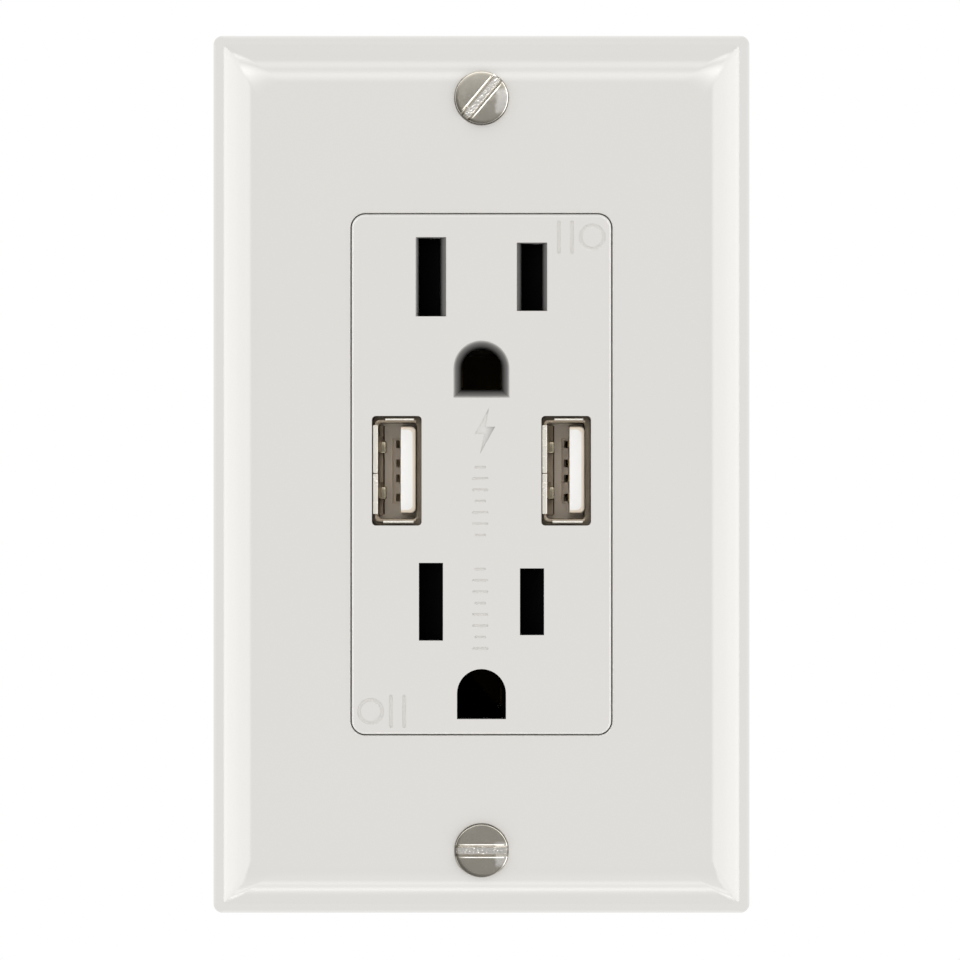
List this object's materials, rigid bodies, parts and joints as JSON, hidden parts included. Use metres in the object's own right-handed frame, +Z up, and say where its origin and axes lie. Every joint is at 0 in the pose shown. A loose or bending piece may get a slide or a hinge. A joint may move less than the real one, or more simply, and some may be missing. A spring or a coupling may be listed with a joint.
{
  "type": "usb wall socket",
  "caption": "White duplex wall socket with shuttered outlets, USB-A ports between them, a bevelled cover plate and slotted screws, on a steel strap with a deep rear housing.",
  "frame": {"origin": "centre of the cover plate, on the wall's surface, where the strap and the plate's rim rest", "axes": "+Z up, +X to the right as seen from the front, the front faces -Y and the wall is y = 0"},
  "size_m": [0.0698, 0.0418, 0.1142],
  "materials": {
    "white_gloss": "smooth moulded gloss",
    "nickel": "nickel plated, lightly scratched",
    "zinc_steel": "zinc plated stamping",
    "tin_steel": "bright tin plated shell",
    "black_nylon": "black nylon",
    "spring_steel": "drawn wire",
    "thermoset": "dark grey moulding",
    "brass": "stamped brass",
    "tin_brass": "stamped brass, tin plated",
    "brass_screw": "turned brass",
    "green_screw": "green dyed zinc",
    "white_insulator": "moulded insulator",
    "gold_contact": "gold flash over copper alloy",
    "circuit_board": "solder mask over glass laminate",
    "insulating_paper": "fish paper",
    "ferrite": "sintered ferrite",
    "winding_tape": "taped winding",
    "capacitor_can": "sleeved can",
    "copper_coil": "enamelled wire on a drum core",
    "fuse_glass": "glass tube with metal caps",
    "black_epoxy": "moulded epoxy",
    "capacitor_box": "potted box",
    "fibre": "vulcanised fibre"
  },
  "bodies": {
    "socket": {"wall_plate": "white_gloss", "face_cover": "white_gloss", "plate_screw_upper": "nickel", "plate_screw_lower": "nickel", "mounting_strap": "zinc_steel", "shutter_spring_upper": "spring_steel", "shutter_spring_lower": "spring_steel", "contact_carrier": "thermoset", "hot_bus": "brass", "neutral_bus": "tin_brass", "ground_bus": "brass", "box_screw_upper": "zinc_steel", "box_screw_lower": "zinc_steel", "screw_retainer_upper": "fibre", "screw_retainer_lower": "fibre", "hot_terminal_screw_upper": "brass_screw", "hot_terminal_screw_lower": "brass_screw", "neutral_terminal_screw_upper": "zinc_steel", "neutral_terminal_screw_lower": "zinc_steel", "hot_clamp_plate_upper": "brass", "hot_clamp_plate_lower": "brass", "neutral_clamp_plate_upper": "tin_brass", "neutral_clamp_plate_lower": "tin_brass", "ground_screw": "green_screw", "housing_screws": "zinc_steel", "usb_shell_left": "tin_steel", "usb_shell_right": "tin_steel", "usb_tongue_left": "white_insulator", "usb_tongue_right": "white_insulator", "usb_contacts_left": "gold_contact", "usb_contacts_right": "gold_contact", "usb_board": "circuit_board", "board_header": "black_epoxy", "insulating_sheet": "insulating_paper", "power_board": "circuit_board", "transformer_core": "ferrite", "transformer_winding": "winding_tape", "bulk_capacitor": "capacitor_can", "output_capacitors": "capacitor_can", "inductor": "copper_coil", "fuse": "fuse_glass", "bridge_rectifier": "black_epoxy", "controller_chip": "black_epoxy", "safety_capacitor": "capacitor_box", "rear_housing": "thermoset"},
    "upper_shutter": {"shutter_upper": "black_nylon"},
    "lower_shutter": {"shutter_lower": "black_nylon"}
  },
  "joints": [
    {"name": "upper_shutter_slide", "type": "slide", "parent": "socket", "child": "upper_shutter", "axis": [1, 0, 0], "range_m": [0, 0.0036], "stiffness_N_per_m": 80, "springref_m": -0.002, "deforming": ["shutter_spring_upper"]},
    {"name": "lower_shutter_slide", "type": "slide", "parent": "socket", "child": "lower_shutter", "axis": [1, 0, 0], "range_m": [0, 0.0036], "stiffness_N_per_m": 80, "springref_m": -0.002, "deforming": ["shutter_spring_lower"]}
  ]
}
